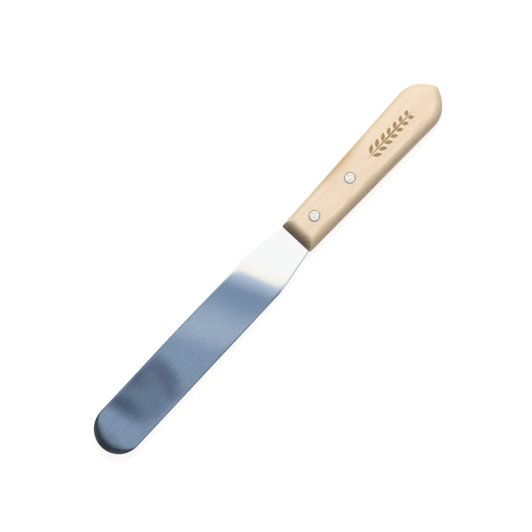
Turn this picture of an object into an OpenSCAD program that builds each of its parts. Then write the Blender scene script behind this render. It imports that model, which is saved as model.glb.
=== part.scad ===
// Palette knife: a round-ended spring steel blade whose half tang sits in a saw kerf in a
// one-piece wooden handle, where two compression rivets hold it.
// Millimetres. +X runs from the butt to the blade's tip and +Z is up, with the knife lying flat.
// The origin is under the middle of its length, on the plane of the handle's lower face.

/* [Blade] */
// Length of blade that stands out of the handle
blade_reach = 164.8; // [120:0.1:260]
// Width of the parallel part of the blade
blade_w = 30; // [24:0.5:40]
// Thickness of the steel at the tang and neck
blade_t = 1.2; // [0.8:0.1:1.6]
// Thickness that the blade tapers to at its tip
tip_t = 0.7; // [0.4:0.1:0.8]
// Width of the neck where it enters the handle
neck_w = 21; // [16:0.2:21]
// Distance from the handle to the shoulders, over which the neck narrows
neck_l = 28; // [15:1:40]
// Radius that softens each shoulder
shoulder_r = 50; // [20:5:80]
// Length of the tang inside the handle
tang_l = 56; // [52:1:70]
// Width of the tang at its hidden end
tang_end_w = 18.6; // [14:0.2:20.8]
// Radius of the corners of the tang's hidden end
tang_corner_r = 4; // [1:0.5:6]

/* [Handle] */
// Length of the handle
handle_l = 120.2; // [110:0.1:150]
// Thickness of the handle
handle_t = 14; // [12:0.5:18]
// Width at the front end
front_w = 21.4; // [21.2:0.1:24]
// Width at the widest point, near the butt
butt_w = 27; // [25:0.2:30]
// Radius of the corners between the long sides and the butt
corner_r = 16; // [15:0.2:18]
// Angle that each of those corners turns through
corner_turn = 43; // [30:1:55]
// Radius of the two flanks that meet in the butt's point
flank_r = 26; // [19:0.2:32]
// Radius of the rounded long edges
edge_r = 4.4; // [2:0.2:5]
// Length of the rounded nose at the front end
nose_l = 8.4; // [8:0.2:11]
// Height of upright front face left between the blade and each curve of the nose
nose_land = 0.5; // [0.3:0.1:1]
// Depth of the saw kerf that takes the tang
kerf_l = 58; // [57:1:72]
// Radius of the saw that cuts the kerf
saw_r = 60; // [59:1:100]

/* [Rivets] */
// Distance from the handle's front end to the front rivet
rivet_x = 17; // [15:0.2:20]
// Distance between the two rivets
rivet_pitch = 30; // [24:0.2:32]
// Diameter of the rivet heads
head_d = 6.4; // [5:0.1:8]
// Thickness of a head at its rim
head_rim = 0.75; // [0.5:0.05:1]
// Height of a head's dome above its rim
head_dome = 0.25; // [0.1:0.05:0.4]
// Depth of the counterbores that the heads sit in
sink = 1.05; // [1:0.05:1.5]
// Outer diameter of the tubular post
post_d = 3.8; // [3.2:0.1:4.2]
// Diameter of the pin that is pressed into the post
pin_d = 2.4; // [1.8:0.1:2.6]
// Space left between the end of the post and the other head
post_short = 1.2; // [0.5:0.1:2]
// Space left between the end of the pin and the bottom of the post's bore
pin_short = 1.6; // [0.5:0.1:3]

/* [Fits] */
// Gap between the kerf and each face of the tang
kerf_gap = 0.05; // [0.02:0.01:0.2]
// Gap around a rivet head in its counterbore
head_gap = 0.15; // [0.05:0.05:0.2]
// Gap around a post in the handle
post_gap = 0.05; // [0.02:0.01:0.15]
// Gap around a post in the tang
tang_gap = 0.1; // [0.05:0.05:0.3]
// Gap around a pin in its post
pin_gap = 0.01; // [0.01:0.01:0.05]

/* [Hidden] */

STEEL = [0.55, 0.62, 0.70];
WOOD = [0.93, 0.85, 0.74];
PLATED = [0.88, 0.88, 0.86];

past = 1; // how far a cutter runs past the surface that it cuts
overall_l = blade_reach + handle_l;
tip_x = overall_l / 2;
butt_x = -overall_l / 2;
front_x = tip_x - blade_reach; // the handle's front end
mid_z = handle_t / 2;          // the plane through the middle of the blade

// blade
round_x = tip_x - blade_w / 2; // centre of the round end
shoulder_x = front_x + neck_l; // where each parallel edge would meet its neck in a corner
neck_angle = atan((blade_w - neck_w) / 2 / neck_l);
shoulder_run = shoulder_r * tan(neck_angle / 2); // from that corner to each end of its arc
tang_x = front_x - tang_l;

// handle
corner_off = corner_r - butt_w / 2; // how far each corner's centre is past the axis
flank_off = corner_off + (flank_r - corner_r) * cos(corner_turn);
flank_ahead = (flank_r - corner_r) * sin(corner_turn); // from the widest point to the flanks' centres
widest_x = butt_x + sqrt(pow(flank_r, 2) - pow(flank_off, 2)) - flank_ahead;
flank_x = widest_x + flank_ahead;
flank_end_x = widest_x - corner_r * sin(corner_turn); // where each corner runs into its flank
kerf_t = blade_t + 2 * kerf_gap;

// rivets
rivet_xs = [front_x - rivet_x, front_x - rivet_x - rivet_pitch];
grip_l = handle_t - 2 * sink; // wood and steel held between the two heads
post_l = grip_l - post_short;
pin_l = grip_l - pin_short;

// The same points on the other side of the axis, in the order that closes an outline.
function mirrored(points) = [for (i = [len(points) - 1 : -1 : 0]) [points[i][0], -points[i][1]]];

// --- blade -------------------------------------------------------------------------------

// The arc of the shoulder where y is positive, tangent to the parallel edge and to the neck.
function shoulder_arc(steps = 6) = [
    for (i = [0 : steps])
        let (a = neck_angle * i / steps)
            [shoulder_x + shoulder_run - shoulder_r * sin(a), blade_w / 2 - shoulder_r * (1 - cos(a))]
];

module blade_plan() {
    edge = concat([[round_x, blade_w / 2]], shoulder_arc(), [[front_x, neck_w / 2]]);
    polygon(concat(edge, mirrored(edge)));
    translate([round_x, 0]) circle(d = blade_w, $fn = 120);
    tang_plan();
}

module tang_plan() {
    corner_x = tang_x + tang_corner_r;
    corner_y = tang_end_w / 2 - tang_corner_r;
    sides = [[front_x, neck_w / 2], [corner_x, tang_end_w / 2]];
    polygon(concat(sides, mirrored(sides)));
    translate([tang_x, -corner_y]) square([tang_corner_r, 2 * corner_y]);
    for (side = [-1, 1])
        translate([corner_x, side * corner_y]) circle(r = tang_corner_r, $fn = 48);
}

// The blade seen from its side: even in the tang and neck, then tapered to the tip.
module blade_profile() {
    upper = [
        [tang_x - past, blade_t / 2],
        [shoulder_x, blade_t / 2],
        [tip_x + past, tip_t / 2]
    ];
    polygon(concat(upper, mirrored(upper)));
}

module blade() {
    color(STEEL)
    difference() {
        intersection() {
            linear_extrude(height = handle_t) blade_plan();
            side_view(blade_w) blade_profile();
        }
        for (x = rivet_xs)
            translate([x, 0, 0]) cylinder(d = post_d + 2 * tang_gap, h = handle_t, $fn = 48);
    }
}

// --- handle ------------------------------------------------------------------------------

// Stands a side view up along Y, about the plane through the middle of the blade.
module side_view(width) {
    translate([0, width, mid_z]) rotate([90, 0, 0]) linear_extrude(height = 2 * width) children();
}

// A disc as thick as the handle, with its rim rounded like the handle's long edges.
module rounded_disc(r) {
    core_r = r - edge_r;
    rotate_extrude($fn = 96) {
        translate([0, -handle_t / 2]) square([core_r, handle_t]);
        translate([0, edge_r - handle_t / 2]) square([r, handle_t - 2 * edge_r]);
        for (side = [-1, 1])
            translate([core_r, side * (handle_t / 2 - edge_r)]) circle(r = edge_r, $fn = 32);
    }
}

// What two rounded discs share, each with its centre a distance off past the axis.
module rounded_lens(r, x, off) {
    intersection() {
        translate([x, -off, mid_z]) rounded_disc(r);
        translate([x, off, mid_z]) rounded_disc(r);
    }
}

// The handle before it is cut: four rounded edges run back from the front end to the butt's
// corners, and the flanks close it in a point.
module handle_blank() {
    stub = 1;
    hull() {
        for (y = [-1, 1], z = [-1, 1])
            translate([front_x - stub, y * (front_w / 2 - edge_r), mid_z + z * (handle_t / 2 - edge_r)])
                rotate([0, 90, 0]) cylinder(r = edge_r, h = stub, $fn = 32);
        rounded_lens(corner_r, widest_x, corner_off);
        intersection() {
            rounded_lens(flank_r, flank_x, flank_off);
            translate([butt_x - past, -butt_w / 2, 0]) cube([flank_end_x - butt_x + past, butt_w, handle_t]);
        }
    }
}

// The handle seen from its side: above and below the blade, one arc rises from the front face
// and runs into the flat face behind it. The point ahead of the front face is past the wood.
module nose_profile() {
    steps = 8;
    land_z = blade_t / 2 + nose_land;
    rise = handle_t / 2 - land_z;
    nose_r = (pow(nose_l, 2) + pow(rise, 2)) / (2 * rise);
    sweep = asin(nose_l / nose_r);
    ahead = [front_x + land_z / tan(sweep), 0];
    arc = [
        for (i = [0 : steps])
            let (a = sweep * (1 - i / steps))
                [front_x - nose_l + nose_r * sin(a), handle_t / 2 - nose_r * (1 - cos(a))]
    ];
    upper = concat(arc, [[butt_x - past, handle_t / 2]]);
    polygon(concat([ahead], upper, mirrored(upper)));
}

module rivet_hole(x) {
    translate([x, 0, -past]) cylinder(d = post_d + 2 * post_gap, h = handle_t + 2 * past, $fn = 48);
    for (z = [-past, handle_t - sink])
        translate([x, 0, z]) cylinder(d = head_d + 2 * head_gap, h = sink + past, $fn = 64);
}

module handle() {
    color(WOOD)
    difference() {
        intersection() {
            handle_blank();
            side_view(butt_w) nose_profile();
        }
        translate([front_x - kerf_l + saw_r, 0, mid_z - kerf_t / 2])
            cylinder(r = saw_r, h = kerf_t, $fn = 180);
        for (x = rivet_xs) rivet_hole(x);
    }
}

// --- rivets ------------------------------------------------------------------------------

// A low domed head that stands on the plane z = 0.
module rivet_head() {
    head_h = head_rim + head_dome;
    dome_r = (pow(head_d / 2, 2) + pow(head_dome, 2)) / (2 * head_dome);
    intersection() {
        cylinder(d = head_d, h = head_h, $fn = 64);
        translate([0, 0, head_h - dome_r]) sphere(r = dome_r, $fn = 128);
    }
}

// A head on a shank that reaches down from it.
module headed_shank(shank_d, shank_l) {
    rivet_head();
    translate([0, 0, -shank_l]) cylinder(d = shank_d, h = shank_l + head_rim / 2, $fn = 48);
}

// Upper half of a rivet: its shank is a tube, bored up to the underside of the head.
module rivet_post(x) {
    color(PLATED)
    translate([x, 0, handle_t - sink])
    difference() {
        headed_shank(post_d, post_l);
        translate([0, 0, -post_l - past]) cylinder(d = pin_d + 2 * pin_gap, h = post_l + past, $fn = 48);
    }
}

// Lower half of a rivet: its shank is a solid pin, driven up into the post.
module rivet_pin(x) {
    color(PLATED)
    translate([x, 0, sink])
    mirror([0, 0, 1]) headed_shank(pin_d, pin_l);
}

blade();
handle();
rivet_post(rivet_xs[0]);  // front_rivet_post
rivet_pin(rivet_xs[0]);  // front_rivet_pin
rivet_post(rivet_xs[1]);  // rear_rivet_post
rivet_pin(rivet_xs[1]);  // rear_rivet_pin
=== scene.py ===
"""Palette knife: the looks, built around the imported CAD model.

Everything is in metres, in the frame of the CAD model: +X runs from the butt of the handle to
the tip of the blade, +Z is up, and the knife lies flat.
"""
import math

import bmesh
import bpy
from mathutils import Matrix, Vector


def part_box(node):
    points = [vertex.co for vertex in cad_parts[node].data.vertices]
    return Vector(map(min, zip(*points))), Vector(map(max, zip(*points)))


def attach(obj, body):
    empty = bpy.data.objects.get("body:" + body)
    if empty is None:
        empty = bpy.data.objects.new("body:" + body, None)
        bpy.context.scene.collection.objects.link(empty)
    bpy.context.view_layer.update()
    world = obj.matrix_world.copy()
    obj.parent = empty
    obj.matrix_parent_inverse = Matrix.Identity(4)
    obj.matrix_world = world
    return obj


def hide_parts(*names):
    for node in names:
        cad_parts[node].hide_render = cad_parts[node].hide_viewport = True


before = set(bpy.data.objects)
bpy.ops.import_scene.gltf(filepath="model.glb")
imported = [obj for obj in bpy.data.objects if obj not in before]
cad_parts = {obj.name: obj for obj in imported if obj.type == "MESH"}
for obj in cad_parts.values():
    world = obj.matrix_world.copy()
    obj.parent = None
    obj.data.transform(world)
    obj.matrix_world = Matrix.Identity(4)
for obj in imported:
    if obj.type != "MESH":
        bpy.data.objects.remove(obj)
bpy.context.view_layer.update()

MM = 0.001
blade_lo, blade_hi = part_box("blade")
handle_lo, handle_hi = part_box("handle")

# Places along the knife and across it, from the frame
TANG_X = blade_lo.x
TIP_X = blade_hi.x
BUTT_X = handle_lo.x
FRONT_X = handle_hi.x
MID_Z = (handle_lo.z + handle_hi.z) / 2
HALF_T = (handle_hi.z - handle_lo.z) / 2
BLADE_HALF_W = blade_hi.y
BLADE_HALF_T = (blade_hi.z - blade_lo.z) / 2
BUTT_HALF_W = handle_hi.y

# Sizes that the frame's boxes don't give
NECK_W = 21 * MM            # where it leaves the handle
NECK_L = 28 * MM            # from there to the shoulders
SHOULDER_R = 50 * MM
TANG_END_W = 18.6 * MM
TANG_CORNER_R = 4 * MM
TIP_HALF_T = 0.35 * MM
FRONT_W = 21.4 * MM         # of the handle at its front end
CORNER_R = 16 * MM          # the corners between the long sides and the butt
CORNER_TURN = math.radians(43)
FLANK_R = 26 * MM           # the flanks that meet in the butt's point
POINT_R = 0.8 * MM          # blunts that point
EDGE_R = 4.4 * MM           # of the handle's long edges
EDGE_MEET = math.radians(12)  # the angle at which a rounded long edge meets the flat face
CREASE_R = 0.6 * MM         # softens that crease, and the one between the long edges and the nose
NOSE_L = 8.4 * MM           # the stretch behind the front end that is rounded over
NOSE_LAND = 0.5 * MM        # what is left flat of the front end, above and below the steel
NOSE_CORNER_R = 0.8 * MM    # rounds the nose's upright corners in plan
KERF_L = 58 * MM
KERF_HALF_T = BLADE_HALF_T + 0.05 * MM
SAW_R = 60 * MM             # the round end that the saw leaves in the kerf
KERF_CUT_W = 16 * MM        # how far the kerf's cutter reaches to either side of the axis
KERF_CUT_PAST = 2 * MM      # and past the handle's front end
# the two-part rivets, and the holes that they sit in
RIVET_SIDES = ("front", "rear")
SINK = 1.05 * MM            # from the handle's faces to the seats of the heads
HEAD_GAP = 0.15 * MM        # around a head in its counterbore
SEAT_LIP = 0.18 * MM        # the small chamfer at the mouth of a counterbore
HEAD_DOME = 0.20 * MM       # how far a head drops from its middle to its rim
HEAD_FLATNESS = 14          # the power of that curve: the higher, the flatter the middle
HEAD_RIM_R = 0.14 * MM
POST_R = 1.9 * MM
POST_HOLE_R = 1.95 * MM     # through the wood
TANG_HOLE_R = 2.0 * MM
TANG_CUT_H = 2.0 * MM       # how far the cutter for the tang's holes reaches up and down
POST_CHAMFER = 0.2 * MM
PIN_R = 1.2 * MM
PIN_FIT = 0.01 * MM         # around the pin in the post's bore
PIN_CHAMFER = 0.3 * MM
# the ornament on the upper face, measured back from the handle's front end
SPRIG_START = 61.4 * MM
SPRIG_L = 40 * MM
SPRIG_DEPTH = 0.3 * MM
STEM_W = 1.1 * MM
LEAF_L = 6.0 * MM
LEAF_W = 2.3 * MM
LEAF_ANGLE = math.radians(36)
LEAF_CLEAR = 0.75 * MM      # from the stem's middle to the base of a leaf
LEAF_PAIRS = 7
LEAF_FIRST = 0.75           # where the first pair sits, in steps from the stem's foot
LEAF_SHRINK = 0.45          # how much shorter the leaves grow towards the sprig's tip, as a share


# --- materials -----------------------------------------------------------------------------

# the steel's brushing comes in over this stretch of the blade, in millimetres along X
BRUSHED_FROM, BRUSHED_TO = 20, 60
# the wood's warm streaks: middle, half sizes along X, Y and Z in millimetres, and strength
STAINS = (((-71, -11, 14), (25, 6.2, 7), 0.92), ((-40, 7.6, 14), (8, 1.8, 4), 0.4),
          ((-119, 9.0, 14), (10, 1.5, 4), 0.35), ((-60, 7.8, 14), (5, 1.6, 4), 0.35),
          ((-77, 8.4, 14), (9, 2.6, 5), 0.4))
# the nose's darkness, end grain with painted shade over it, sets in over these distances behind the
# handle's front end, and it thins out towards the corners over these distances from the axis, all in
# millimetres
NOSE_DARK_FROM, NOSE_DARK_TO = 9.5, 6.0
NOSE_CORNERS, NOSE_MIDDLE = 12.0, 5.5


class Shader:
    """A material's node tree. add() makes a node, with each input either a value or a socket."""

    def __init__(self, name):
        self.material = bpy.data.materials.new(name)
        self.material.use_nodes = True
        self.tree = self.material.node_tree
        self.bsdf = self.tree.nodes["Principled BSDF"]
        self.output = self.tree.nodes["Material Output"]

    def add(self, kind, inputs=None, **settings):
        node = self.tree.nodes.new("ShaderNode" + kind)
        for key, value in settings.items():
            setattr(node, key, value)
        self.fill(node, inputs or {})
        return node

    def fill(self, node, inputs):
        for key, value in inputs.items():
            if isinstance(value, bpy.types.NodeSocket):
                self.tree.links.new(value, node.inputs[key])
            else:
                node.inputs[key].default_value = value

    def math(self, operation, a, b=0.0, clamp=False):
        return self.add("Math", {0: a, 1: b}, operation=operation, use_clamp=clamp).outputs[0]

    def mix(self, factor, a, b, blend="MIX"):
        # sockets 6 and 7 are the two colours, and output 2 is their mix
        inputs = {"Factor": factor, 6: a, 7: b}
        return self.add("Mix", inputs, data_type="RGBA", blend_type=blend).outputs[2]

    def ramp(self, value, low, high, to_low=0.0, to_high=1.0, smooth=True):
        """value taken from the range low..high to the range to_low..to_high, and held there."""
        inputs = {0: value, 1: low, 2: high, 3: to_low, 4: to_high}
        kind = "SMOOTHSTEP" if smooth else "LINEAR"
        return self.add("MapRange", inputs, interpolation_type=kind).outputs[0]

    def place(self, scale=(1, 1, 1), shift=(0, 0, 0)):
        """The point being shaded in millimetres, scaled and then moved by shift."""
        point = self.add("TexCoord").outputs["Object"]
        scale = tuple(s / MM for s in scale)
        return self.add("Mapping", {"Vector": point, "Scale": scale, "Location": shift}).outputs[0]

    def noise(self, vector, scale=1.0, detail=2.0, roughness=0.5):
        inputs = {"Vector": vector, "Scale": scale, "Detail": detail, "Roughness": roughness}
        return self.add("TexNoise", inputs).outputs["Fac"]

    def bump(self, height, distance, normal=None):
        inputs = {"Height": height, "Distance": distance, "Strength": 1.0}
        if normal is not None:
            inputs["Normal"] = normal
        return self.add("Bump", inputs).outputs[0]


def steel_material():
    """Spring steel, brushed along the blade."""
    s = Shader("blade_steel")
    scratch = s.noise(s.place((0.05, 7.0, 7.0)), detail=3.0, roughness=0.65)
    streak = s.noise(s.place((0.04, 1.3, 1.3)), detail=3.0, roughness=0.6)
    brush = s.noise(s.place((0.16, 1.3, 1.3)), detail=4.0, roughness=0.65)
    wave = s.noise(s.place((0.025, 0.035, 0.035)), detail=1.0)
    smudge = s.noise(s.place((0.05, 0.09, 0.09)), detail=4.0, roughness=0.6)

    light_steel = (0.65, 0.675, 0.705, 1)
    mid_steel = (0.635, 0.66, 0.69, 1)
    dark_steel = (0.58, 0.605, 0.64, 1)
    bright_steel = (0.675, 0.7, 0.73, 1)
    neck = s.mix(s.ramp(streak, 0.3, 0.7), mid_steel, light_steel)
    neck = s.mix(s.ramp(scratch, 0.35, 0.75, 0.0, 0.15), neck, dark_steel)
    # the brushing shows most on the blade, and hardly on the neck
    brushed = s.mix(s.ramp(brush, 0.34, 0.66), bright_steel, dark_steel)
    x_mm = s.add("SeparateXYZ", {0: s.place()}).outputs["X"]
    tone = s.mix(s.ramp(x_mm, BRUSHED_FROM, BRUSHED_TO), neck, brushed)

    scratched = s.ramp(scratch, 0.25, 0.75, 0.025, 0.045)
    smudged = s.ramp(smudge, 0.4, 0.75, 0.0, 0.015)
    rough = s.math("ADD", scratched, smudged)
    normal = s.bump(wave, 0.02 * MM)
    normal = s.bump(streak, 0.0034 * MM, normal=normal)
    normal = s.bump(scratch, 0.00008 * MM, normal=normal)
    s.fill(s.bsdf, {"Base Color": tone, "Metallic": 1.0, "Roughness": rough, "Normal": normal})
    return s.material


def rivet_material():
    """Bright nickel plate with the dents and dull patches of peening."""
    s = Shader("rivet_metal")
    fine = s.noise(s.place((9, 9, 9)), detail=3.0, roughness=0.6)
    patch = s.noise(s.place((0.7, 0.7, 0.7)), detail=2.0)
    dent = s.noise(s.place((1.0, 1.0, 1.0), shift=(5, 3, 0)), detail=2.0, roughness=0.6)

    dull_nickel = (0.63, 0.63, 0.615, 1)
    bright_nickel = (0.71, 0.71, 0.695, 1)
    dented = (0.40, 0.43, 0.46, 1)
    tone = s.mix(s.ramp(patch, 0.35, 0.65), dull_nickel, bright_nickel)
    tone = s.mix(s.ramp(dent, 0.51, 0.62, 0.0, 0.65), tone, dented)
    rough = s.ramp(fine, 0.3, 0.7, 0.16, 0.30)
    normal = s.bump(patch, 0.05 * MM)
    normal = s.bump(dent, 0.03 * MM, normal=normal)
    normal = s.bump(fine, 0.0015 * MM, normal=normal)
    s.fill(s.bsdf, {"Base Color": tone, "Metallic": 1.0, "Roughness": rough, "Normal": normal})
    return s.material


def wood_material(name, scorched=False):
    """Pale sanded wood under a thin satin finish, or the same wood where it is burnt, with painted
    shade on the rounded edges and the nose.
    """
    s = Shader(name)
    wander = s.noise(s.place((0.012, 0.05, 0.05)), detail=2.0)
    ring_place = s.place((0.004, 1.0, 1.0), shift=(0, 38.0, 64.0))
    aside = s.math("MULTIPLY", wander, 9.0)
    aside = s.add("CombineXYZ", {"Y": aside, "Z": aside}).outputs[0]
    bent = s.add("VectorMath", {0: ring_place, 1: aside}).outputs[0]
    wave = {"Vector": bent, "Scale": 0.09, "Distortion": 1.2,
            "Detail": 3.0, "Detail Scale": 0.6, "Detail Roughness": 0.6}
    rings = s.add("TexWave", wave, wave_type="RINGS", rings_direction="X", wave_profile="SAW")
    rings = rings.outputs["Fac"]
    fibre = s.noise(s.place((0.045, 3.2, 3.2)), detail=4.0, roughness=0.65)
    hair = s.noise(s.place((0.12, 11.0, 11.0)), detail=2.0, roughness=0.6)
    fleck = s.noise(s.place((0.55, 3.6, 1.2), shift=(3, 7, 1)), detail=1.0)
    cloud = s.noise(s.place((0.018, 0.06, 0.06), shift=(11, 2, 5)), detail=2.0)

    pale = (0.80, 0.675, 0.51, 1)
    warm = (0.765, 0.63, 0.465, 1)
    ring_brown = (0.68, 0.52, 0.35, 1)
    fibre_brown = (0.69, 0.54, 0.37, 1)
    fleck_brown = (0.60, 0.43, 0.27, 1)
    stain_amber = (0.61, 0.40, 0.20, 1)
    # the tint of the painted shade on the rounded edges
    painted_edge_shade = (0.91, 0.895, 0.825, 1)
    butt_brown = (0.60, 0.43, 0.26, 1)
    # the nose's two colours: end grain darkened further by painted shade, the darker one mostly
    # painted shade
    nose_grain_and_shade_brown = (0.50, 0.33, 0.17, 1)
    nose_grain_and_painted_shade = (0.12, 0.095, 0.072, 1)
    burnt_brown = (0.335, 0.19, 0.05, 1)
    tone = s.mix(s.ramp(cloud, 0.35, 0.65), pale, warm)
    tone = s.mix(s.ramp(rings, 0.15, 0.95, 0.0, 0.22), tone, ring_brown)
    tone = s.mix(s.ramp(fibre, 0.42, 0.70, 0.0, 0.34), tone, fibre_brown)
    tone = s.mix(s.ramp(fleck, 0.63, 0.74, 0.0, 0.24), tone, fleck_brown)

    # warm mineral streaks: one along the far edge by the rear rivet, and some fainter ones
    for place, size, depth in STAINS:
        away = s.add("VectorMath", {0: s.place(), 1: place}, operation="SUBTRACT")
        away = s.add("VectorMath", {0: away.outputs[0], 1: size}, operation="DIVIDE")
        away = s.add("VectorMath", {0: away.outputs[0]}, operation="LENGTH").outputs["Value"]
        away = s.math("ADD", away, s.math("MULTIPLY", fibre, 0.8))
        tone = s.mix(s.ramp(away, 1.5, 0.3, 0.0, depth), tone, stain_amber)

    # painted shade: the rounded edges are darker the further they turn from the top face, standing in
    # for shade and lost sheen
    facing = s.add("SeparateXYZ", {0: s.add("NewGeometry").outputs["Normal"]})
    rounded = s.ramp(s.math("ABSOLUTE", facing.outputs["Z"]), 0.994, 0.90)
    tone = s.mix(rounded, tone, painted_edge_shade, "MULTIPLY")

    # end grain drinks the finish: darker where the surface turns towards the nose or the butt. At the
    # nose, painted shade is added, nearly black at the front edge, for a face turned away from the
    # light
    axes = s.add("SeparateXYZ", {0: s.place()})
    pores = s.noise(s.place((0.9, 1.8, 0.9)), detail=4.0, roughness=0.75)
    front_mm = FRONT_X / MM
    at_nose = s.ramp(axes.outputs["X"], front_mm - NOSE_DARK_FROM, front_mm - NOSE_DARK_TO)
    nose = s.math("MULTIPLY", s.ramp(facing.outputs["X"], 0.02, 0.765), at_nose)
    # painted light: the nose's painted darkness eases off towards its corners
    off_axis = s.math("ABSOLUTE", axes.outputs["Y"])
    nose = s.math("MULTIPLY", nose, s.ramp(off_axis, NOSE_CORNERS, NOSE_MIDDLE, 0.6, 1.0))
    nose = s.math("MULTIPLY", nose, s.ramp(pores, 0.36, 0.64, 0.74, 1.14))
    butt = s.ramp(facing.outputs["X"], -0.25, -0.85, 0.0, 0.06)
    tone = s.mix(butt, tone, butt_brown)
    tone = s.mix(s.math("MULTIPLY", nose, 0.5), tone, nose_grain_and_shade_brown)
    tone = s.mix(s.math("MULTIPLY", nose, 0.9, clamp=True), tone, nose_grain_and_painted_shade)
    if scorched:
        tone = s.mix(s.ramp(fibre, 0.3, 0.7, 0.85, 1.0), tone, burnt_brown)

    rough = s.ramp(fibre, 0.3, 0.7, 0.46, 0.60)
    normal = s.bump(rings, 0.010 * MM)
    normal = s.bump(fibre, 0.02 * MM, normal=normal)
    normal = s.bump(hair, 0.004 * MM, normal=normal)
    normal = s.bump(s.math("MULTIPLY", pores, nose), 0.10 * MM, normal=normal)
    s.fill(s.bsdf, {"Base Color": tone, "Roughness": rough, "Normal": normal,
                    "Coat Weight": 0.12, "Coat Roughness": 0.35, "Specular IOR Level": 0.4})
    return s.material


STEEL = steel_material()
NICKEL = rivet_material()
WOOD = wood_material("handle_wood")
SCORCHED = wood_material("handle_wood_scorched", scorched=True)


# --- mesh helpers --------------------------------------------------------------------------

MERGE_DIST = 1e-7
TINY_EDGE = 1e-8
REVOLVE_STEPS = 72


def add_object(name, data):
    """A new object in the scene from a mesh, a camera or a light."""
    obj = bpy.data.objects.new(name, data)
    bpy.context.scene.collection.objects.link(obj)
    return obj


def object_from(name, bm):
    """A new object from a closed bmesh, with its faces turned outwards."""
    bmesh.ops.recalc_face_normals(bm, faces=bm.faces)
    mesh = bpy.data.meshes.new(name)
    bm.to_mesh(mesh)
    bm.free()
    return add_object(name, mesh)


def loft(name, sections, cap_last=True):
    """A closed mesh through sections of equal length, each a list of points. Without cap_last, the
    last section has run flat, and merging its points closes that end."""
    bm = bmesh.new()
    rows = [[bm.verts.new(p) for p in section] for section in sections]
    count = len(rows[0])
    for row, following in zip(rows, rows[1:]):
        for i in range(count):
            j = (i + 1) % count
            bm.faces.new((row[i], row[j], following[j], following[i]))
    bm.faces.new(rows[0][::-1])
    if cap_last:
        bm.faces.new(rows[-1])
    bmesh.ops.remove_doubles(bm, verts=bm.verts, dist=MERGE_DIST)
    bmesh.ops.dissolve_degenerate(bm, edges=bm.edges, dist=TINY_EDGE)
    return object_from(name, bm)


def revolve(name, profile, centre):
    """A solid of revolution about Z from (radius, height) points that start and end on the axis."""
    bm = bmesh.new()
    rows = []
    for step in range(REVOLVE_STEPS):
        angle = 2 * math.pi * step / REVOLVE_STEPS
        c, s = math.cos(angle), math.sin(angle)
        points = [(centre.x + r * c, centre.y + r * s, centre.z + z) for r, z in profile]
        rows.append([bm.verts.new(p) for p in points])
    for row, following in zip(rows, rows[1:] + rows[:1]):
        for i in range(len(profile) - 1):
            bm.faces.new((row[i], row[i + 1], following[i + 1], following[i]))
    bmesh.ops.remove_doubles(bm, verts=bm.verts, dist=MERGE_DIST)
    return object_from(name, bm)


def prism(name, outline, low, high):
    """An upright prism on an outline of (x, y) points, from height low to height high."""
    return loft(name, [[(x, y, low) for x, y in outline], [(x, y, high) for x, y in outline]])


def cut(obj, cutter):
    """Takes the cutter out of obj. The cut faces keep the cutter's material."""
    modifier = obj.modifiers.new("cut", "BOOLEAN")
    modifier.operation = "DIFFERENCE"
    modifier.solver = "EXACT"
    modifier.material_mode = "TRANSFER"
    modifier.object = cutter
    apply_modifiers(obj)
    bpy.data.objects.remove(cutter)


def apply_modifiers(obj):
    """Replaces obj's mesh by the one that its modifiers make of it."""
    bpy.context.view_layer.update()
    evaluated = obj.evaluated_get(bpy.context.evaluated_depsgraph_get())
    mesh = bpy.data.meshes.new_from_object(evaluated)
    obj.modifiers.clear()
    obj.data = mesh


def smooth(obj, sharp_angle=32):
    """Smooth shading that keeps flat faces flat and breaks at edges over sharp_angle degrees."""
    mesh = obj.data
    mesh.shade_smooth()
    mesh.set_sharp_from_angle(angle=math.radians(sharp_angle))
    modifier = obj.modifiers.new("weighted", "WEIGHTED_NORMAL")
    modifier.keep_sharp = True
    modifier.weight = 100
    apply_modifiers(obj)


def finish_piece(obj, node):
    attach(obj, "root")
    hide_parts(node)


def node_centre(node, z):
    """The point at height z on the upright axis of a round node."""
    lo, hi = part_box(node)
    return Vector(((lo.x + hi.x) / 2, 0, z))


# --- blade ---------------------------------------------------------------------------------

NECK_SLOPE = (BLADE_HALF_W - NECK_W / 2) / NECK_L
NECK_ANGLE = math.atan(NECK_SLOPE)
SHOULDER_X = FRONT_X + NECK_L
SHOULDER_RUN = SHOULDER_R * math.tan(NECK_ANGLE / 2)
ROUND_X = TIP_X - BLADE_HALF_W


def blade_half_width(x):
    """Half of the blade's width at x, from the tang's hidden end to the start of the round end."""
    if x < TANG_X + TANG_CORNER_R:
        reach = TANG_X + TANG_CORNER_R - x
        return TANG_END_W / 2 - TANG_CORNER_R + math.sqrt(max(TANG_CORNER_R ** 2 - reach ** 2, 0))
    if x < FRONT_X:
        share = (x - TANG_X - TANG_CORNER_R) / (FRONT_X - TANG_X - TANG_CORNER_R)
        return TANG_END_W / 2 + share * (NECK_W - TANG_END_W) / 2
    if x < SHOULDER_X - SHOULDER_RUN * math.cos(NECK_ANGLE):
        return NECK_W / 2 + (x - FRONT_X) * NECK_SLOPE
    if x < SHOULDER_X + SHOULDER_RUN:
        back = SHOULDER_X + SHOULDER_RUN - x
        return BLADE_HALF_W - SHOULDER_R + math.sqrt(SHOULDER_R ** 2 - back ** 2)
    return BLADE_HALF_W


def blade_half_thickness(x):
    share = min(max((x - SHOULDER_X) / (TIP_X - SHOULDER_X), 0), 1)
    return BLADE_HALF_T + share * (TIP_HALF_T - BLADE_HALF_T)


EDGE_FILLET = 0.10 * MM      # rounds the steel's edge over both faces
# where a blade section has its points: distances inside the edge, and then shares of the rest
BLADE_INSETS = [d * MM for d in (0.12, 0.25, 0.45, 0.7, 1.0, 1.4, 1.9, 2.5, 3.2, 4.0, 5.0, 6.2, 7.5)]
BLADE_INNER = (0.8, 0.6, 0.4, 0.2, 0.0)
SHOULDER_STEPS = 8
BLADE_STEPS = 24
TIP_STEPS = 40


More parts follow.
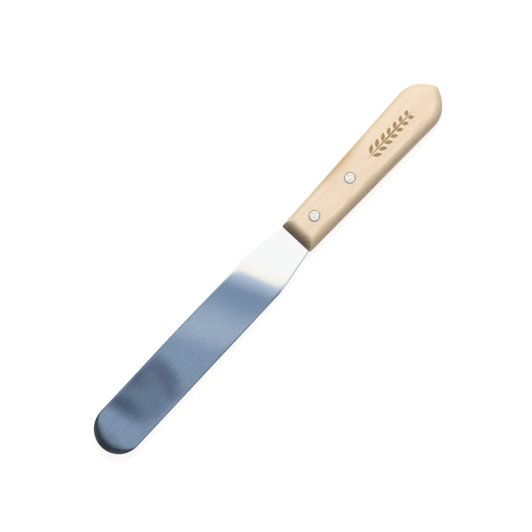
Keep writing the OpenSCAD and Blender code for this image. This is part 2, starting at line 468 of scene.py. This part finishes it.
def blade_height(x, inset, turn):
    """Half of the thickness at a distance inset from the edge. turn is 0 on the parallel edges and
    1 at the tip, where the grinding reaches further in."""
    full = blade_half_thickness(x)
    crown_w = (1.8 + 5.2 * turn) * MM
    bevel_w = (0.7 + 1.9 * turn) * MM
    crown_drop = (0.02 + 0.03 * turn) * MM
    bevel_drop = (0.06 + 0.08 * turn) * MM
    crown = max(1 - inset / crown_w, 0) ** 2
    bevel = max(1 - inset / bevel_w, 0) ** 1.5
    return full - crown_drop * crown - bevel_drop * bevel


def side_place(x):
    """A function for the point that lies a distance inside the edge, straight across at x."""
    return lambda inset: (x, blade_half_width(x) - inset)


def tip_place(angle):
    """The same for the round end, at an angle from the start of the rounding."""
    def place(inset):
        radius = BLADE_HALF_W - inset
        return (ROUND_X + radius * math.sin(angle), radius * math.cos(angle))
    return place


def blade_section(place, x_for_height, turn):
    """One closed section. place(inset) gives the (x, y) of the point that far inside the edge."""
    half = []
    inner_x, inner_y = place(BLADE_INSETS[-1])
    for share in reversed(BLADE_INNER):
        half.append((inner_x, inner_y * share, blade_height(x_for_height, BLADE_INSETS[-1], turn)))
    for inset in reversed(BLADE_INSETS):
        x, y = place(inset)
        half.append((x, y, blade_height(x_for_height, inset, turn)))
    rim = blade_height(x_for_height, EDGE_FILLET, turn)
    for angle in (60, 30, 0):
        a = math.radians(angle)
        x, y = place(EDGE_FILLET * (1 - math.cos(a)))
        half.append((x, y, rim - EDGE_FILLET + EDGE_FILLET * math.sin(a)))
    lower = [(x, y, -z) for x, y, z in reversed(half)]
    near = half + lower
    far = [(x, -y, z) for x, y, z in reversed(near[1:-1])]
    return [(x, y, MID_Z + z) for x, y, z in near + far]


def build_blade():
    # the tang's rounded corners and its length, the neck, the shoulders and the parallel blade
    xs = [TANG_X + TANG_CORNER_R * (1 - math.cos(math.radians(a))) for a in range(0, 90, 15)]
    xs += [TANG_X + (FRONT_X - TANG_X) * s for s in (0.15, 0.4, 0.7)]
    xs += [FRONT_X + NECK_L * s for s in (0, 0.15, 0.3, 0.45, 0.6, 0.75)]
    start = SHOULDER_X - SHOULDER_RUN * math.cos(NECK_ANGLE)
    end = SHOULDER_X + SHOULDER_RUN
    xs += [start + (end - start) * i / SHOULDER_STEPS for i in range(SHOULDER_STEPS + 1)]
    xs += [end + (ROUND_X - end) * i / BLADE_STEPS for i in range(1, BLADE_STEPS)]
    sections = [blade_section(side_place(x), x, 0) for x in xs]
    for i in range(TIP_STEPS + 1):
        angle = math.pi / 2 * i / TIP_STEPS
        forward = math.sin(angle)
        turn = forward ** 2 * (3 - 2 * forward)
        # one taper value for the section, from a place a little behind its rim
        x_for_height = ROUND_X + BLADE_HALF_W * forward * 0.8
        sections.append(blade_section(tip_place(angle), x_for_height, turn))
    blade = loft("palette_blade", sections, cap_last=False)
    hole = [(0, -TANG_CUT_H), (TANG_HOLE_R, -TANG_CUT_H), (TANG_HOLE_R, TANG_CUT_H), (0, TANG_CUT_H)]
    for side in RIVET_SIDES:
        cut(blade, revolve("hole", hole, node_centre(side + "_rivet_post", MID_Z)))
    blade.data.materials.clear()
    blade.data.materials.append(STEEL)
    smooth(blade, 40)
    finish_piece(blade, "blade")


# --- handle --------------------------------------------------------------------------------

LAND = BLADE_HALF_T + NOSE_LAND
NOSE_RISE = HALF_T - LAND
NOSE_R = (NOSE_L ** 2 + NOSE_RISE ** 2) / (2 * NOSE_RISE)
CORNER_OFF = CORNER_R - BUTT_HALF_W             # how far each corner's centre is past the axis
FLANK_OFF = CORNER_OFF + (FLANK_R - CORNER_R) * math.cos(CORNER_TURN)
POINT_TURN = math.acos(FLANK_OFF / (FLANK_R - POINT_R))
FLANK_X = BUTT_X + POINT_R + (FLANK_R - POINT_R) * math.sin(POINT_TURN)
WIDEST_X = FLANK_X - (FLANK_R - CORNER_R) * math.sin(CORNER_TURN)
SIDE_RUN = Vector((FRONT_X - WIDEST_X, FRONT_W / 2 + CORNER_OFF))
SIDE_ANGLE = math.atan2(SIDE_RUN.x, SIDE_RUN.y) - math.acos(CORNER_R / SIDE_RUN.length)

SIDE_STEPS = 20
ARC_STEPS = 12                                  # in each corner and each flank of the butt
POINT_STEPS = 6
KERF_END_STEPS = 24
EDGE_STEPS = 15
EDGE_ANGLES = [math.pi / 2 * i / EDGE_STEPS for i in range(EDGE_STEPS + 1)]
FLAT_SHARES = (0.0, 0.25, 0.5, 0.75)            # where a section has points across the flat face
WALL_SHARES = (0.5, 0.0, -0.5)                  # and down the side wall


def close_section(upper_half, wall_top):
    """A closed section from its quarter where y and z are positive, listed from the middle of the
    top face down to the top of the side wall."""
    x, y, _ = upper_half[-1]
    wall = [(x, y, wall_top * share) for share in WALL_SHARES]
    near = upper_half + wall + [(x, y, -z) for x, y, z in reversed(upper_half)]
    far = [(x, -y, z) for x, y, z in reversed(near[1:-1])]
    return [(x, y, MID_Z + z) for x, y, z in near + far]


def edge_profile(top):
    """The rounded edge under a face at height top, from the face down to the side wall: how far
    each point is in from the wall, and its height."""
    centre_z = HALF_T - EDGE_R * math.cos(EDGE_MEET)
    inner_r = EDGE_R - CREASE_R
    crease_z = max(top - CREASE_R - centre_z, 0)
    crease_y = math.sqrt(max(inner_r ** 2 - crease_z ** 2, 0))
    crease_angle = math.atan2(crease_z, crease_y)
    profile = []
    for angle in reversed(EDGE_ANGLES):
        across, rise = math.cos(angle), math.sin(angle)
        if angle <= crease_angle:
            profile.append((EDGE_R - EDGE_R * across, centre_z + EDGE_R * rise))
        else:
            profile.append((EDGE_R - crease_y - CREASE_R * across, top - CREASE_R + CREASE_R * rise))
    return profile


def side_section(back):
    """The handle's section at a distance back from its front end, as far as the butt's corners."""
    x = FRONT_X - back
    tangent_x = WIDEST_X + CORNER_R * math.sin(SIDE_ANGLE)
    tangent_y = CORNER_R * math.cos(SIDE_ANGLE) - CORNER_OFF
    half_w = tangent_y - (x - tangent_x) * math.tan(SIDE_ANGLE)
    if back < NOSE_CORNER_R:
        half_w -= NOSE_CORNER_R - math.sqrt(NOSE_CORNER_R ** 2 - (NOSE_CORNER_R - back) ** 2)
    ahead = max(NOSE_L - back, 0)
    top = HALF_T - NOSE_R + math.sqrt(NOSE_R ** 2 - ahead ** 2)
    quarter = [(x, half_w - inset, z) for inset, z in edge_profile(top)]
    flat = [(x, quarter[0][1] * share, quarter[0][2]) for share in FLAT_SHARES]
    return close_section(flat + quarter, quarter[-1][2])


def butt_section(stretch, share):
    """The section that stands across the butt's outline, where share runs 0 to 1 along one
    stretch of it: the "corner", the "flank" or the small arc that blunts the "point"."""
    quarter = []
    for inset, z in edge_profile(HALF_T):
        if stretch == "corner":
            turn = -SIDE_ANGLE + (CORNER_TURN + SIDE_ANGLE) * share
            x = WIDEST_X - (CORNER_R - inset) * math.sin(turn)
            y = (CORNER_R - inset) * math.cos(turn) - CORNER_OFF
        else:
            meet = math.acos(FLANK_OFF / (FLANK_R - inset - POINT_R))
            if stretch == "flank":
                turn = CORNER_TURN + (meet - CORNER_TURN) * share
                x = FLANK_X - (FLANK_R - inset) * math.sin(turn)
                y = (FLANK_R - inset) * math.cos(turn) - FLANK_OFF
            else:
                turn = meet + (math.pi / 2 - meet) * share
                x = FLANK_X - (FLANK_R - inset - POINT_R) * math.sin(meet) - POINT_R * math.sin(turn)
                y = POINT_R * math.cos(turn)
        quarter.append((x, y, z))
    flat = [(quarter[0][0], quarter[0][1] * s, quarter[0][2]) for s in FLAT_SHARES]
    return close_section(flat + quarter, quarter[-1][2])


LEAF_STEPS = 8


def leaf(length, width, place, angle):
    """The outline of a leaf, pointed at both ends, with its base at place."""
    half = []
    for i in range(LEAF_STEPS + 1):
        share = i / LEAF_STEPS
        half.append((length * share, width / 2 * math.sin(math.pi * share)))
    outline = half + [(x, -y) for x, y in reversed(half[1:-1])]
    c, s = math.cos(angle), math.sin(angle)
    return [(place[0] + x * c - y * s, place[1] + x * s + y * c) for x, y in outline]


def sprig_cutter():
    """The burnt-in ornament: a stem with pairs of leaves, sunk into the upper face."""
    top = MID_Z + HALF_T
    start_x = FRONT_X - SPRIG_START
    outlines = [leaf(SPRIG_L, STEM_W, (start_x, 0), math.pi)]
    pitch = SPRIG_L / (LEAF_PAIRS + 1)
    for i in range(LEAF_PAIRS):
        length = LEAF_L * (1 - LEAF_SHRINK * i / LEAF_PAIRS)
        for side in (-1, 1):
            place = (start_x - pitch * (i + LEAF_FIRST), side * LEAF_CLEAR)
            outlines.append(leaf(length, LEAF_W, place, math.pi - side * LEAF_ANGLE))
    bm = bmesh.new()
    for outline in outlines:
        lower = [bm.verts.new((x, y, top - SPRIG_DEPTH)) for x, y in outline]
        upper = [bm.verts.new((x, y, top + SPRIG_DEPTH)) for x, y in outline]
        bm.faces.new(lower)
        bm.faces.new(upper)
        for i in range(len(outline)):
            bm.faces.new((lower[i - 1], lower[i], upper[i], upper[i - 1]))
    cutter = object_from("sprig", bm)
    cutter.data.materials.append(SCORCHED)
    return cutter


def kerf_cutter():
    """The slot for the tang, with the round end that a circular saw leaves."""
    mouth_x = FRONT_X + KERF_CUT_PAST
    outline = [(mouth_x, -KERF_CUT_W), (mouth_x, KERF_CUT_W)]
    sweep = math.asin(KERF_CUT_W / SAW_R)
    for i in range(KERF_END_STEPS + 1):
        angle = sweep * (1 - 2 * i / KERF_END_STEPS)
        outline.append((FRONT_X - KERF_L + SAW_R * (1 - math.cos(angle)), SAW_R * math.sin(angle)))
    cutter = prism("kerf", outline, MID_Z - KERF_HALF_T, MID_Z + KERF_HALF_T)
    cutter.data.materials.append(WOOD)
    return cutter


def bore_cutter(post_node):
    """The hole for a rivet: counterbored from either face for the heads, and narrow between."""
    lo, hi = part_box(post_node)
    seat_r = (hi.x - lo.x) / 2 + HEAD_GAP
    lip_r = seat_r + SEAT_LIP
    top = HALF_T + MM
    seat_z = HALF_T - SINK
    profile = [(0, -top), (lip_r + MM, -top), (lip_r, -HALF_T), (seat_r, SEAT_LIP - HALF_T),
               (seat_r, -seat_z), (POST_HOLE_R, -seat_z)]
    profile += [(r, -z) for r, z in reversed(profile)]
    cutter = revolve("bore", profile, node_centre(post_node, MID_Z))
    cutter.data.materials.append(WOOD)
    return cutter


def build_handle():
    backs = [NOSE_L * (1 - math.sin(math.radians(a))) for a in range(90, -1, -5)]
    straight = FRONT_X - WIDEST_X - CORNER_R * math.sin(SIDE_ANGLE)
    backs += [NOSE_L + (straight - NOSE_L) * i / SIDE_STEPS for i in range(1, SIDE_STEPS)]
    sections = [side_section(back) for back in backs]
    sections += [butt_section("corner", i / ARC_STEPS) for i in range(ARC_STEPS)]
    sections += [butt_section("flank", i / ARC_STEPS) for i in range(ARC_STEPS)]
    sections += [butt_section("point", i / POINT_STEPS) for i in range(POINT_STEPS + 1)]
    handle = loft("wooden_handle", sections, cap_last=False)
    handle.data.materials.append(WOOD)
    cut(handle, kerf_cutter())
    for side in RIVET_SIDES:
        cut(handle, bore_cutter(side + "_rivet_post"))
    cut(handle, sprig_cutter())
    smooth(handle)
    finish_piece(handle, "handle")


# --- rivets --------------------------------------------------------------------------------

HEAD_STEPS = 12


def rivet_head(head_r, height):
    """Half profile of a peened head, from its flattened middle to the foot of its rim."""
    flat_r = head_r - HEAD_RIM_R
    points = []
    for i in range(HEAD_STEPS + 1):
        r = flat_r * i / HEAD_STEPS
        points.append((r, height - HEAD_DOME * (r / head_r) ** HEAD_FLATNESS))
    rim_z = points[-1][1] - HEAD_RIM_R
    for angle in (75, 55, 35, 15, 0):
        a = math.radians(angle)
        points.append((flat_r + HEAD_RIM_R * math.cos(a), rim_z + HEAD_RIM_R * math.sin(a)))
    points.append((head_r, 0))
    return points


def build_rivet(side):
    """Both halves of a rivet. Each profile starts at its head's middle, with the seat at height 0,
    and the solid half is the wrong way up until it is mirrored."""
    post_node, pin_node = side + "_rivet_post", side + "_rivet_pin"
    post_lo, post_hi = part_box(post_node)
    _, pin_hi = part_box(pin_node)
    seat = HALF_T - SINK
    head = rivet_head((post_hi.x - post_lo.x) / 2, post_hi.z - MID_Z - seat)

    tube_end = post_lo.z - MID_Z - seat
    bore_r = PIN_R + PIN_FIT
    post = head + [(POST_R, 0), (POST_R, tube_end + POST_CHAMFER), (POST_R - POST_CHAMFER, tube_end),
                   (bore_r, tube_end), (bore_r, 0), (0, 0)]
    upper = revolve(side + "_rivet_upper", post, node_centre(post_node, MID_Z + seat))

    pin_end = -(pin_hi.z - (MID_Z - seat))
    pin = head + [(PIN_R, 0), (PIN_R, pin_end + PIN_CHAMFER), (PIN_R - PIN_CHAMFER, pin_end),
                  (0, pin_end)]
    pin = [(r, -z) for r, z in pin]
    lower = revolve(side + "_rivet_lower", pin, node_centre(post_node, MID_Z - seat))
    for piece, node in ((upper, post_node), (lower, pin_node)):
        piece.data.materials.append(NICKEL)
        smooth(piece, 40)
        finish_piece(piece, node)


build_blade()
build_handle()
for rivet_side in RIVET_SIDES:
    build_rivet(rivet_side)


# --- camera, floor and light ---------------------------------------------------------------

VIEW_W = 307.8 * MM          # width of the picture at the knife
AIM_LEFT, AIM_UP = 2.08 * MM, 0.90 * MM     # from the knife's middle to the picture's
CAMERA_FAR = 2.0
CAMERA_TILT = math.radians(11.5)            # away from straight above
KNIFE_ANGLE = math.radians(46.95)           # how far the knife is turned in the picture
SENSOR_W = 36.0
FLOOR_REACH = 3.0


def camera_axes():
    """The picture's right, up and towards-the-viewer directions, in the knife's frame."""
    across = Vector((0, math.cos(CAMERA_TILT), -math.sin(CAMERA_TILT)))
    along = Vector((1, 0, 0))
    right = -math.cos(KNIFE_ANGLE) * along + math.sin(KNIFE_ANGLE) * across
    up = -math.sin(KNIFE_ANGLE) * along - math.cos(KNIFE_ANGLE) * across
    return right, up, right.cross(up)


def build_camera():
    """Sets up the camera and returns its place."""
    right, up, back = camera_axes()
    camera = add_object("camera", bpy.data.cameras.new("camera"))
    camera.data.sensor_width = SENSOR_W
    camera.data.lens = SENSOR_W * CAMERA_FAR / VIEW_W
    camera.data.clip_end = 20
    aim = Vector((0, 0, MID_Z)) - right * AIM_LEFT + up * AIM_UP
    eye = aim + back * CAMERA_FAR
    rotation = Matrix((right, up, back)).transposed().to_4x4()
    camera.matrix_world = Matrix.Translation(eye) @ rotation
    bpy.context.scene.camera = camera
    return eye


def card(name, corners, material):
    """A flat sheet in the setting around the knife, not attached to the knife."""
    mesh = bpy.data.meshes.new(name)
    mesh.from_pydata(corners, [], [tuple(range(len(corners)))])
    mesh.materials.append(material)
    obj = add_object(name, mesh)
    return obj


def build_floor():
    s = Shader("floor_white")
    s.fill(s.bsdf, {"Base Color": (0.24, 0.24, 0.24, 1), "Roughness": 0.9, "Specular IOR Level": 0.0,
                    "Emission Color": (1, 1, 1, 1), "Emission Strength": 0.84})
    corners = [(FLOOR_REACH * x, FLOOR_REACH * y, 0) for x, y in ((-1, -1), (1, -1), (1, 1), (-1, 1))]
    floor = card("floor", corners, s.material)
    floor.visible_diffuse = False


# The steel mirrors two cards that hang over it: a softbox and a soft blue sky. Both are seen in
# reflections only. The places on them are given as millimetres along and across the blade, where
# their reflection lies from the photograph's viewing angle. The cards themselves stay fixed.
CARD_Z = 0.45
CARD_REACH = 2.4
# the softbox's end
SOFTBOX_END = ((460, -1000), (17, -13), (14.7, -10.4), (13, -6), (11, -1), (9.6, 4), (7.8, 7.8),
               (5.2, 11), (2.5, 13.5), (1, 17), (1, 200), (-450, 1000))
# the straight line that it keeps to over the blade: x where y is 0, and the change of x with y
SOFTBOX_MID, SOFTBOX_SLANT = 11.0, -0.40
WHITE = (1.45, 1.40, 1.34)
CREAM = (1.44, 1.35, 1.19)
CREAM_FADE = (-12, -1)       # from white to cream, as distances along the blade from that line
SIDE_GREY = (0.60, 0.60, 0.68)
SIDE_FADE = (35, 95)         # from white to the side grey, across the blade
# the sky's colours, and the tones that it takes on along the blade: x and colour
NIGHT = (0.050, 0.055, 0.065)
DEEP = (0.085, 0.125, 0.20)
MIST = (0.275, 0.395, 0.565)
HAZE = (0.33, 0.445, 0.61)
PALE = (0.49, 0.61, 0.77)
GLOW = (0.70, 0.83, 0.97)
SKY = ((-25, MIST), (24, MIST), (50, PALE), (54, PALE), (67, HAZE), (160, HAZE))
SKY_SLANT = 0.45             # the change of a tone's x with y
SKY_DRIFT = 8.0              # how far a soft noise moves them about
SKY_SIDES = (22, 80)         # the sky darkens over these distances from the axis
GLOW_W = 10.0                # and lightens this close to the softbox
NIGHT_FADE = (133.4, 143.8)  # along the blade, into the darkness at the tip
NIGHT_SIDES = (8, 45)        # that darkness eases a little over these distances from the axis
# soft dark clouds in it: x, y, slant, half length, half width, share that is fully dark, and depth
CLOUDS = ((101, -3, 0.15, 22.5, 21, 0.55, 0.48), (118.8, -10, -0.15, 9.5, 26, 0.1, 0.88),
          (88.5, 0, 0.1, 9.5, 26, 0.1, 0.55), (99.5, -14, 0.0, 8, 16, 0.1, 0.45),
          (94, 11, 0.3, 4.5, 7, 0.1, 0.3), (103, -15, 0.0, 22, 10, 0.3, 0.36))
# Away from the blade the cards fade to a plain studio grey, lighter near the knife than far off
STUDIO_NEAR = (0.78, 0.79, 0.82)
STUDIO_FAR = (0.20, 0.21, 0.24)
STUDIO_FADE = (200, 1500)
SOFTBOX_OUT = (130, 300)     # the fades to that grey, as distances from the axis
SKY_OUT = (130, 260)
SKY_PAST_TIP = (225, 330)    # and as x beyond the tip


class Mirror:
    """Where the camera, at eye, sees the cards' plane in the flat of the blade."""

    def __init__(self, eye):
        self.share = (CARD_Z - MID_Z) / (eye.z - MID_Z)
        self.eye = eye

    def on_card(self, x, y):
        return (x + (x - self.eye.x) * self.share, y + (y - self.eye.y) * self.share, CARD_Z)

    def on_blade(self, shader):
        """The inverse of on_card as a texture vector, in millimetres."""
        point = shader.add("TexCoord").outputs["Object"]
        scale = 1 / (1 + self.share) / MM
        shift = (self.eye.x * self.share * scale, self.eye.y * self.share * scale, 0)
        inputs = {"Vector": point, "Scale": (scale,) * 3, "Location": shift}
        return shader.add("Mapping", inputs).outputs[0]


def past_softbox(shader, x, y):
    """How far a point is along the blade from the softbox's edge, in millimetres."""
    edge = shader.math("ADD", shader.math("MULTIPLY", y, SOFTBOX_SLANT), SOFTBOX_MID)
    return shader.math("SUBTRACT", x, edge)


def emit(shader, colour):
    """Makes the shader an emitter, with colour a colour or a socket."""
    shader.tree.nodes.remove(shader.bsdf)
    light = shader.add("Emission", {"Color": colour, "Strength": 1.0})
    shader.tree.links.new(light.outputs[0], shader.output.inputs[0])
    return shader.material


def studio(shader, place):
    """The grey that the cards fade to, by the distance from the knife."""
    away = shader.add("VectorMath", {0: place}, operation="LENGTH").outputs["Value"]
    return shader.mix(shader.ramp(away, *STUDIO_FADE), STUDIO_NEAR + (1,), STUDIO_FAR + (1,))


def softbox_material(mirror):
    """White, cream along the end that meets the sky, greyer off to the knife's near side, and the
    studio's grey away from the knife."""
    s = Shader("softbox_white")
    place = mirror.on_blade(s)
    axes = s.add("SeparateXYZ", {0: place})
    past = past_softbox(s, axes.outputs["X"], axes.outputs["Y"])
    colour = s.mix(s.ramp(past, *CREAM_FADE), WHITE + (1,), CREAM + (1,))
    colour = s.mix(s.ramp(axes.outputs["Y"], *SIDE_FADE), colour, SIDE_GREY + (1,))
    outside = s.ramp(s.math("ABSOLUTE", axes.outputs["Y"]), *SOFTBOX_OUT)
    return emit(s, s.mix(outside, colour, studio(s, place)))


def sky_material(mirror):
    """A soft blue-grey sky with dark clouds, light beside the softbox, nearly black at the blade's
    tip, and the studio's grey away from the knife."""
    s = Shader("soft_sky")
    place = mirror.on_blade(s)
    axes = s.add("SeparateXYZ", {0: place})
    blade_x, y = axes.outputs["X"], axes.outputs["Y"]
    off_axis = s.math("ABSOLUTE", y)
    drift = s.noise(place, scale=0.05, detail=3.0)
    x = s.math("ADD", blade_x, s.math("MULTIPLY", s.math("SUBTRACT", drift, 0.5), SKY_DRIFT))
    slanted = s.math("ADD", x, s.math("MULTIPLY", y, SKY_SLANT))
    first, last = SKY[0][0], SKY[-1][0]
    bands = s.add("ValToRGB", {"Fac": s.ramp(slanted, first, last, smooth=False)})
    bands.color_ramp.interpolation = "EASE"
    stops = bands.color_ramp.elements
    stops[0].color = SKY[0][1] + (1,)
    stops[1].color = SKY[-1][1] + (1,)
    for place_x, tone in SKY[1:-1]:
        stops.new((place_x - first) / (last - first)).color = tone + (1,)
    colour = bands.outputs[0]
    for cloud_x, cloud_y, slant, long, wide, core, depth in CLOUDS:
        from_y = s.math("SUBTRACT", y, cloud_y)
        from_x = s.math("SUBTRACT", s.math("SUBTRACT", x, cloud_x), s.math("MULTIPLY", from_y, slant))
        along, across = s.math("DIVIDE", from_x, long), s.math("DIVIDE", from_y, wide)
        away = s.add("CombineXYZ", {0: along, 1: across}).outputs[0]
        away = s.add("VectorMath", {0: away}, operation="LENGTH").outputs["Value"]
        colour = s.mix(s.ramp(away, 1.0, core, 0.0, depth), colour, DEEP + (1,))
    glow = s.ramp(past_softbox(s, blade_x, y), GLOW_W, 0.5, smooth=False)
    colour = s.mix(glow, colour, GLOW + (1,))
    colour = s.mix(s.ramp(off_axis, *SKY_SIDES, 0.0, 0.8), colour, DEEP + (1,))
    night = s.ramp(blade_x, *NIGHT_FADE, smooth=False)
    night = s.math("MULTIPLY", night, s.ramp(off_axis, *NIGHT_SIDES, 1.0, 0.88))
    colour = s.mix(night, colour, NIGHT + (1,))
    outside = s.math("MAXIMUM", s.ramp(off_axis, *SKY_OUT), s.ramp(blade_x, *SKY_PAST_TIP))
    return emit(s, s.mix(outside, colour, studio(s, place)))


def build_cards(mirror):
    end = [mirror.on_card(x * MM, y * MM) for x, y in SOFTBOX_END]
    cards = (("softbox", softbox_material(mirror), -1), ("sky", sky_material(mirror), 1))
    for name, material, side in cards:
        far = [(side * CARD_REACH, end[-1][1], CARD_Z), (side * CARD_REACH, end[0][1], CARD_Z)]
        obj = card(name, end + far, material)
        obj.visible_camera = False
        obj.visible_diffuse = False
        obj.visible_shadow = False


FILL_COLOUR = (0.42, 0.38, 0.32, 1)
KEY_COLOUR = (0.97, 1.01, 1.12)
KEY_PLACE = Vector((-0.72, -0.40, 1.1))
KEY_TARGET = Vector((-0.05, 0, 0))
KEY_SIZE = 0.9
KEY_POWER = 17.1


def build_light():
    """A warm even fill from all round, and a soft key light from high up beyond the butt, on the
    knife's far side."""
    world = bpy.data.worlds.new("studio")
    bpy.context.scene.world = world
    world.use_nodes = True
    background = world.node_tree.nodes["Background"]
    background.inputs["Color"].default_value = FILL_COLOUR
    background.inputs["Strength"].default_value = 1.0
    light = bpy.data.lights.new("key", "AREA")
    light.shape = "SQUARE"
    light.size = KEY_SIZE
    light.energy = KEY_POWER
    light.color = KEY_COLOUR
    key = add_object("key", light)
    look = (KEY_TARGET - KEY_PLACE).to_track_quat("-Z", "Y")
    key.matrix_world = Matrix.Translation(KEY_PLACE) @ look.to_matrix().to_4x4()
    key.visible_glossy = False


camera_place = build_camera()
build_floor()
build_cards(Mirror(camera_place))
build_light()
# plain colours, with no filmic tone curve
bpy.context.scene.view_settings.view_transform = "Standard"
bpy.context.scene.view_settings.look = "None"
